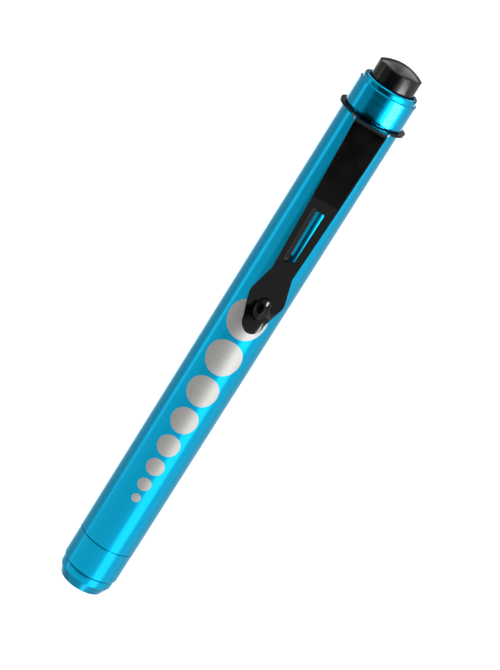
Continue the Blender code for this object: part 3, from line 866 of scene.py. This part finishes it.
def make_switch():
    """The switch's housing, the ring that holds it, its rear contact and the two springs."""
    body, hole = 4.0, 1.3
    top, step, bottom = 121.9, 120.9, 113.5
    lathe(
        "switch_body",
        [
            (SWITCH_FLANGE_RADIUS, top, 0.15),
            (SWITCH_FLANGE_RADIUS, step, 0.05),
            (body, step, 0.05),
            (body, bottom, 0.2),
            (hole, bottom, 0.1),
            (hole, top, 0.15),
        ],
        NYLON,
        "tail_cap",
        ("switch_housing",),
        closed=True,
    )
    ring_hole = 4.55
    ring_top, ring_bottom = 122.9, 122.2
    lathe(
        "retaining_ring",
        [
            (SWITCH_FLANGE_RADIUS, ring_top, 0.08),
            (SWITCH_FLANGE_RADIUS, ring_bottom, 0.08),
            (ring_hole, ring_bottom, 0.08),
            (ring_hole, ring_top, 0.08),
        ],
        BRASS,
        "tail_cap",
        ("switch_retaining_ring",),
        closed=True,
    )
    disc_top, disc_bottom, recess_top = 113.2, 112.5, 112.65
    lathe(
        "rear_contact",
        [
            (0.0, disc_top, 0.0),
            (body, disc_top, 0.08),
            (body, disc_bottom, 0.12),
            (2.0, disc_bottom, 0.1),
            (1.8, recess_top, 0.1),
            (0.0, recess_top, 0.0),
        ],
        BRASS,
        "tail_cap",
        ("contact_disc",),
        steps=96,
    )
    spring("battery_coil", (107.4, 112.2), (2.3, 3.4), 0.5, 4.5, "tail_cap")
    low, high, pressed = ring_bottom, 127.8, 126.3
    coil = spring("button_coil", (low, high), (2.4, 2.4), 0.35, 5.0, "tail_cap")
    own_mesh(coil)


def make_button():
    radius, wall_top, top = 4.86, 130.6, 131.95
    flange_top, flange_bottom = 125.4, 124.6
    hollow, hollow_top = 3.91, 129.2
    crown = radius - 0.12
    rise = top - wall_top - 0.1
    sphere = 0.5 * (crown * crown + rise * rise) / rise
    dome = []
    for k in range(13):
        r = crown * k / 12
        dome.append((r, top - sphere + math.sqrt(sphere**2 - r**2), 0.0))
    lathe(
        "push_button_cap",
        dome
        + [
            (radius, wall_top, 0.12),
            (radius, flange_top, 0.05),
            (SWITCH_FLANGE_RADIUS, flange_top, 0.1),
            (SWITCH_FLANGE_RADIUS, flange_bottom, 0.1),
            (hollow, flange_bottom, 0.1),
            (hollow, hollow_top, 0.2),
            (0.0, hollow_top, 0.0),
        ],
        BUTTON_BLACK,
        "button",
        ("push_button",),
    )
    disc, rod = 3.61, 1.0
    disc_top, disc_bottom, rod_end = 128.9, 128.1, 115.0
    lathe(
        "plunger",
        [
            (0.0, disc_top, 0.0),
            (disc, disc_top, 0.1),
            (disc, disc_bottom, 0.1),
            (rod, disc_bottom, 0.1),
            (rod, rod_end, 0.25),
            (0.0, rod_end, 0.0),
        ],
        BRASS,
        "button",
        ("switch_plunger",),
        steps=64,
    )


# -------------------------------------------------------------------- clip


def between(x, x0, x1, y0, y1):
    return y0 + (y1 - y0) * (x - x0) / (x1 - x0)


def clip_half_width(z):
    """A long taper to the waist, out to the corners of the spade, and in to the round tip."""
    if z >= CLIP_WAIST_Z:
        return between(z, CLIP_WAIST_Z, CLIP_TOP_Z, CLIP_WAIST_HALF_WIDTH, CLIP_TOP_HALF_WIDTH)
    round_z = CLIP_TIP_Z + CLIP_TIP_RADIUS
    if z < round_z:
        rise = (round_z - z) / CLIP_TIP_RADIUS
        return CLIP_TIP_RADIUS * math.sqrt(max(1.0 - rise * rise, 0.0))
    above = between(z, CLIP_WAIST_Z, CLIP_FLARE_Z, CLIP_WAIST_HALF_WIDTH, CLIP_FLARE_HALF_WIDTH)
    below = between(z, CLIP_FLARE_Z, round_z, CLIP_FLARE_HALF_WIDTH, CLIP_TIP_RADIUS)
    rounding = 0.6
    overlap = max(rounding - abs(above - below), 0.0)
    return min(above, below) - 0.25 * overlap**2 / rounding


def clip_reach(z):
    """How far the blade is from the pen's axis."""
    if z >= CLIP_KINK_Z:
        return between(z, CLIP_SPLIT_Z, CLIP_KINK_Z, CLIP_TOP_REACH, CLIP_KINK_REACH)
    if z >= CLIP_LOW_Z:
        return between(z, CLIP_KINK_Z, CLIP_LOW_Z, CLIP_KINK_REACH, CLIP_LOW_REACH)
    along = (CLIP_LOW_Z - z) / (CLIP_LOW_Z - CLIP_TIP_Z)
    return CLIP_LOW_REACH + (CLIP_TIP_REACH - CLIP_LOW_REACH) * along**1.6


class ClipPath:
    """The clip's side view as a line, from the pen's axis out along the shelf and down the blade."""

    def __init__(self):
        bend_reach = CLIP_TOP_REACH - CLIP_BEND_RADIUS
        line = [(x, CLIP_LEVEL_Z) for x in np.linspace(0.0, bend_reach, 40)]
        for angle in np.radians(np.linspace(80.0, 0.0, 9)):
            reach = bend_reach + CLIP_BEND_RADIUS * math.cos(angle)
            z = CLIP_LEVEL_Z - CLIP_BEND_RADIUS * (1.0 - math.sin(angle))
            line.append((reach, z))
        heights = np.arange(CLIP_SPLIT_Z, CLIP_TIP_Z - 0.05, -0.1)
        reach = np.array([clip_reach(z) for z in heights])
        for _ in range(12):
            reach[1:-1] = 0.25 * reach[:-2] + 0.5 * reach[1:-1] + 0.25 * reach[2:]
        line += list(zip(reach, heights))
        line = np.array(line)
        self.reach, self.height = line[:, 0], line[:, 1]
        gaps = np.hypot(np.diff(self.reach), np.diff(self.height))
        self.length = np.concatenate([[0.0], np.cumsum(gaps)])

    def place(self, along):
        reach = np.interp(along, self.length, self.reach)
        height = np.interp(along, self.length, self.height)
        return reach, height

    def along(self, z):
        """The distance along the line at a height on the blade."""
        return float(np.interp(-z, -self.height, self.length))


def smooth_step(x):
    x = min(max(x, 0.0), 1.0)
    return x * x * (3.0 - 2.0 * x)


def dimple(across, z):
    """The pressed oval: a low dome that stands out of the blade."""
    away = math.hypot(
        (across - DIMPLE_OFFSET) / DIMPLE_HALF_WIDTH, (z - DIMPLE_Z) / DIMPLE_HALF_LENGTH
    )
    return -DIMPLE_HEIGHT * smooth_step((1.2 - away) / 0.8)


def tip_roll(across, z):
    """From the blade's lowest bend to its tip, the sides roll back towards the barrel."""
    return 0.09 * across**2 * smooth_step((CLIP_LOW_Z - z) / 3.0)


def drawn_edge(across, z):
    """The slot's left edge is drawn in towards the barrel, as the punch left it."""
    beyond = 0.6
    if not SLOT_BOTTOM_Z - beyond < z < SLOT_TOP_Z + beyond:
        return 0.0
    half_width = between(
        z, SLOT_BOTTOM_Z, SLOT_TOP_Z, SLOT_BOTTOM_HALF_WIDTH, SLOT_TOP_HALF_WIDTH
    )
    away = SLOT_OFFSET - half_width - across
    low_end = smooth_step((z - SLOT_BOTTOM_Z + beyond) / 0.9)
    high_end = smooth_step((SLOT_TOP_Z + beyond - z) / 0.9)
    return 0.4 * low_end * high_end * smooth_step(1.0 - away) if 0.0 < away + 0.3 < 1.3 else 0.0


def clip_outline(path):
    """The right-hand edge of the flat pattern, as (across, along) from the ring to the tip."""
    side = [(CLIP_ROOT_HALF_WIDTH, 6.9), (4.12, 7.5), (3.92, 8.1), (3.78, 8.7), (3.7, 9.2)]
    start = path.along(CLIP_SPLIT_Z + 0.3)
    side += [(CLIP_TOP_HALF_WIDTH, x) for x in np.arange(9.6, start, 0.15)]
    for z in np.arange(CLIP_SPLIT_Z, CLIP_TIP_Z + CLIP_TIP_RADIUS, -0.3):
        side.append((clip_half_width(z), path.along(z)))
    for angle in np.radians(np.arange(0.0, 90.0, 6.0)):
        z = CLIP_TIP_Z + CLIP_TIP_RADIUS * (1.0 - math.sin(angle))
        side.append((CLIP_TIP_RADIUS * math.cos(angle), path.along(z)))
    return side


def clip_slot(path):
    """The slot in the flat pattern: a tapering oblong with rounded corners."""
    outline = []
    for z, side, half_width in (
        (SLOT_TOP_Z - SLOT_CORNER, 1, SLOT_TOP_HALF_WIDTH - SLOT_CORNER),
        (SLOT_BOTTOM_Z + SLOT_CORNER, -1, SLOT_BOTTOM_HALF_WIDTH - SLOT_CORNER),
    ):
        for corner, start in ((side, 90.0 - 90.0 * side), (-side, 180.0 - 90.0 * side)):
            for k in range(5):
                angle = math.radians(start + 22.5 * k)
                x = SLOT_OFFSET + corner * half_width + SLOT_CORNER * math.cos(angle)
                outline.append((x, path.along(z + SLOT_CORNER * math.sin(angle))))
    dense = []
    for (x0, y0), (x1, y1) in zip(outline, outline[1:] + outline[:1]):
        count = max(1, int(math.hypot(x1 - x0, y1 - y0) / 0.3))
        dense += [(x0 + (x1 - x0) * k / count, y0 + (y1 - y0) * k / count) for k in range(count)]
    return dense


def inside(point, polygon):
    x, y = point
    found = False
    for (x0, y0), (x1, y1) in zip(polygon, polygon[1:] + polygon[:1]):
        if (y0 > y) != (y1 > y) and x < x0 + (x1 - x0) * (y - y0) / (y1 - y0):
            found = not found
    return found


def nearest(point, polygon):
    gaps = np.array(polygon) - np.array(point)
    return float(np.sqrt((gaps**2).sum(1).min()))


def circle(radius, angles):
    """Points round the pen's axis in the flat pattern, by their angles in degrees."""
    return [(radius * math.sin(a), radius * math.cos(a)) for a in np.radians(angles)]


def clip_loops(path):
    """The flat pattern's three edges: all round the outside, the washer's hole and the slot."""
    side = clip_outline(path)
    join = math.degrees(math.asin(side[0][0] / CLIP_RING_OUTER_RADIUS)) + 1.5
    ring = circle(CLIP_RING_OUTER_RADIUS, np.arange(join, 360.0 - join, 2.5))
    tip = (0.0, path.along(CLIP_TIP_Z))
    outer = side + [tip] + [(-x, y) for x, y in reversed(side)] + list(reversed(ring))
    hole = circle(CLIP_RING_INNER_RADIUS, np.arange(0.0, 360.0, 3.0))
    return outer, hole, clip_slot(path)


def clip_rows(path, outer, slot):
    """Points inside the pattern, closer together where the strip is bent or pressed."""
    coarse, fine = 0.45, 0.2
    bend_start, bend_end = 9.4, 11.2
    dimple_along = path.along(DIMPLE_Z)
    slot_top, slot_bottom = path.along(SLOT_TOP_Z) - 0.6, path.along(SLOT_BOTTOM_Z) + 0.6
    last = path.along(CLIP_TIP_Z)
    points = []
    row = 7.6
    while row < last:
        close = abs(row - dimple_along) < 3.2 or slot_top < row < slot_bottom
        bent = bend_start < row < bend_end or close or row > dimple_along
        pitch = fine if close else coarse
        count = int(CLIP_ROOT_HALF_WIDTH / pitch)
        for k in range(-count, count + 1):
            spot = (k * pitch, row)
            if not inside(spot, outer) or inside(spot, slot):
                continue
            if nearest(spot, outer) > 0.45 * pitch and nearest(spot, slot) > 0.45 * pitch:
                points.append(spot)
        row += fine if bent else coarse
    return points


def bent_place(spot, path):
    """Where a point of the flat pattern lies once the strip is bent and pressed."""
    reach, height = path.place(spot.y)
    if spot.y < 0.0:
        reach, height = spot.y, CLIP_LEVEL_Z
    across = spot.x + math.tan(math.radians(CLIP_LEAN_DEG)) * (CLIP_TOP_Z - height)
    depth = drawn_edge(spot.x, height)
    if height < CLIP_WAIST_Z:
        depth = dimple(spot.x, height) + tip_roll(spot.x, height)
    return (across * MM, (depth - reach) * MM, height * MM)


def clip_sheet():
    """The bent strip without its thickness: a mesh along the middle of the metal."""
    path = ClipPath()
    outer, hole, slot = clip_loops(path)
    points, edges = [], []
    for loop in (outer, hole, slot):
        first = len(points)
        points += loop
        edges += [(first + i, first + (i + 1) % len(loop)) for i in range(len(loop))]
    points += clip_rows(path, outer, slot)
    flat = delaunay_2d_cdt([Vector(p) for p in points], edges, [], 1, 1e-6)
    shape = bmesh.new()
    verts = [shape.verts.new(bent_place(spot, path)) for spot in flat[0]]
    for face in flat[2]:
        middle = sum((flat[0][i] for i in face), Vector((0.0, 0.0))) / len(face)
        if inside(middle, outer) and not inside(middle, hole) and not inside(middle, slot):
            shape.faces.new([verts[i] for i in face])
    for vert in [v for v in shape.verts if not v.link_faces]:
        shape.verts.remove(vert)
    return finish_mesh(shape, "clip_sheet", 180.0)


def thickened(mesh):
    """Gives the strip its thickness and rounds its edges."""
    sheet = bpy.data.objects.new("clip_sheet", mesh)
    bpy.context.scene.collection.objects.link(sheet)
    solid = sheet.modifiers.new("Sheet", "SOLIDIFY")
    solid.thickness = CLIP_THICKNESS * MM
    solid.offset = 0.0
    solid.use_even_offset = True
    bevel = sheet.modifiers.new("Edge", "BEVEL")
    bevel.width = 0.14 * MM
    bevel.segments = 3
    bevel.limit_method = "ANGLE"
    bevel.angle_limit = math.radians(50.0)
    bevel.harden_normals = False
    evaluated = sheet.evaluated_get(bpy.context.evaluated_depsgraph_get())
    final = bpy.data.meshes.new_from_object(evaluated)
    bpy.data.objects.remove(sheet)
    final.shade_smooth()
    final.materials.clear()
    return final


def make_clip():
    clip = make_object("spring_clip", thickened(clip_sheet()), PLATING)
    weigh_normals(clip)
    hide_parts("clip_collar", "clip_blade")
    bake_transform(clip)


# ------------------------------------------------------------- the studio


def make_world():
    """A white studio, laid out by each direction's turn from -Y towards +X and its rise."""
    world = bpy.data.worlds.new("studio")
    bpy.context.scene.world = world
    world.use_nodes = True
    nodes = Nodes(world.node_tree)
    generated = nodes.new("ShaderNodeTexCoord").outputs["Generated"]
    x, y, z = nodes.new("ShaderNodeSeparateXYZ", {0: generated}).outputs
    turn = nodes.math("DEGREES", nodes.math("ARCTAN2", x, nodes.times(y, -1.0)))
    rise = nodes.math("DEGREES", nodes.math("ARCSINE", z))

    level = nodes.times(nodes.step(rise, 20.0, 70.0, 1.0, 1.25), 0.85)
    level = nodes.times(level, nodes.step(rise, -60.0, -35.0, 0.6, 1.0))
    for light in studio_lights(nodes, turn, rise):
        level = nodes.add(level, light)
    for shade in studio_shades(nodes, turn, rise):
        level = nodes.times(level, nodes.math("SUBTRACT", 1.0, shade))

    seen = nodes.new("ShaderNodeLightPath").outputs["Is Camera Ray"]
    strength = nodes.new("ShaderNodeMix", {0: seen, 2: level, 3: 1.0}).outputs[0]
    background = world.node_tree.nodes["Background"]
    nodes.put(background.inputs["Strength"], strength)
    background.inputs["Color"].default_value = rgb(1.0, 1.0, 1.0)


def studio_lights(nodes, turn, rise):
    """To the right a soft box, a patch above it and a wide glow, to the left a strip, two behind."""
    box = nodes.times(nodes.band(turn, 24.0, 60.0, 3.0), nodes.step(rise, 2.0, 8.0, 1.0, 0.0))
    box = nodes.times(box, nodes.step(rise, -18.0, -9.0, 1.0, 2.3))
    glow = nodes.times(nodes.band(turn, 0.0, 110.0, 30.0), 0.12)
    strip = nodes.band(turn, -95.0, -86.0, 1.5)
    strip = nodes.times(strip, nodes.step(rise, -23.5, -18.5, 0.1, 0.75))
    strip = nodes.times(strip, nodes.step(rise, -15.0, -11.0, 1.0, 0.5))
    overhead = nodes.times(nodes.band(turn, 46.0, 68.0, 2.0), nodes.band(rise, 22.0, 38.0, 2.0))
    overhead = nodes.times(overhead, 3.0)
    rear_right = nodes.times(nodes.band(turn, 150.0, 172.0, 3.0), 1.2)
    rear_left = nodes.times(nodes.band(turn, -168.0, -157.0, 3.0), 1.2)
    rear = nodes.times(nodes.add(rear_right, rear_left), nodes.step(rise, -40.0, -26.0))
    return box, glow, strip, overhead, rear


def studio_shades(nodes, turn, rise):
    """The share of light taken away: at both flanks, in front, to its left, and low behind."""
    low = nodes.step(rise, 22.0, 32.0, 1.0, 0.0)
    left_flank = nodes.times(nodes.band(turn, -150.0, -99.0, 3.0), 0.4)
    right_flank = nodes.times(nodes.band(turn, 98.0, 148.0, 4.0), 0.16)
    flanks = nodes.add(left_flank, right_flank)
    front = nodes.times(nodes.band(turn, -48.0, 12.0, 5.0), nodes.step(rise, -17.6, -14.8))
    front = nodes.times(nodes.times(front, low), 0.97)
    side = nodes.times(nodes.band(turn, -84.0, -48.0, 4.0), nodes.step(rise, -17.0, -12.0))
    side = nodes.times(nodes.times(side, low), 0.64)
    behind = nodes.math("SUBTRACT", 1.0, nodes.band(turn, -125.0, 125.0, 10.0))
    behind = nodes.times(nodes.times(behind, nodes.band(rise, 0.0, 26.0, 4.0)), 0.85)
    return flanks, front, side, behind


def make_side_panel():
    """A small soft panel beside the clip's tip, to the right and above it."""
    aim = Vector((0.6, -8.4, 76.5)) * MM
    towards = direction(58.0, 31.0)
    distance = 60.0 * MM
    brightness = 34.0
    data = bpy.data.lights.new("side_panel", "AREA")
    data.shape = "RECTANGLE"
    data.size, data.size_y = 32.0 * MM, 22.0 * MM
    data.energy = brightness * math.pi * data.size * data.size_y
    panel = bpy.data.objects.new("side_panel", data)
    bpy.context.scene.collection.objects.link(panel)
    facing = towards.to_track_quat("Z", "Y").to_matrix().to_4x4()
    panel.matrix_world = Matrix.Translation(aim + towards * distance) @ facing
    panel.visible_camera = False


def make_floor():
    """Plain white paper, which the pen's surfaces don't mirror."""
    mesh = bpy.data.meshes.new("floor")
    size = 3.0  # metres
    mesh.from_pydata(
        [(-size, -size, 0.0), (size, -size, 0.0), (size, size, 0.0), (-size, size, 0.0)],
        [],
        [(0, 1, 2, 3)],
    )
    material, _, shader, _ = new_material("white_paper", Roughness=0.9)
    shader.inputs["Base Color"].default_value = rgb(0.9, 0.9, 0.9)
    shader.inputs["Emission Color"].default_value = rgb(1.0, 1.0, 1.0)
    shader.inputs["Emission Strength"].default_value = 0.5
    floor = make_object("floor", mesh, material)
    floor.location.z = -FLOOR_DROP * MM
    floor.visible_glossy = False
    floor.visible_diffuse = False
    floor.visible_transmission = False
    floor.visible_shadow = False


def make_camera():
    """Looks down on the pen's middle from a little to the left of the clip, with some roll."""
    target = Vector((2.58, 0.02, 66.85)) * MM
    back = direction(-6.0, 17.93)
    distance = 541.3 * MM
    roll = math.radians(32.19)
    data = bpy.data.cameras.new("camera")
    data.lens = 140.776
    data.sensor_width = 36.0
    camera = bpy.data.objects.new("camera", data)
    bpy.context.scene.collection.objects.link(camera)
    facing = (-back).to_track_quat("-Z", "Y").to_matrix().to_4x4()
    camera.matrix_world = (
        Matrix.Translation(target + back * distance) @ facing @ Matrix.Rotation(roll, 4, "Z")
    )
    bpy.context.scene.camera = camera


make_camera()
make_world()
make_side_panel()
make_floor()
make_barrel()
make_head()
make_cell("front", FRONT_CELL_BOTTOM_Z)
make_cell("rear", REAR_CELL_BOTTOM_Z)
make_tail_cap()
make_button()
make_clip()

bpy.context.scene.view_settings.view_transform = "Standard"
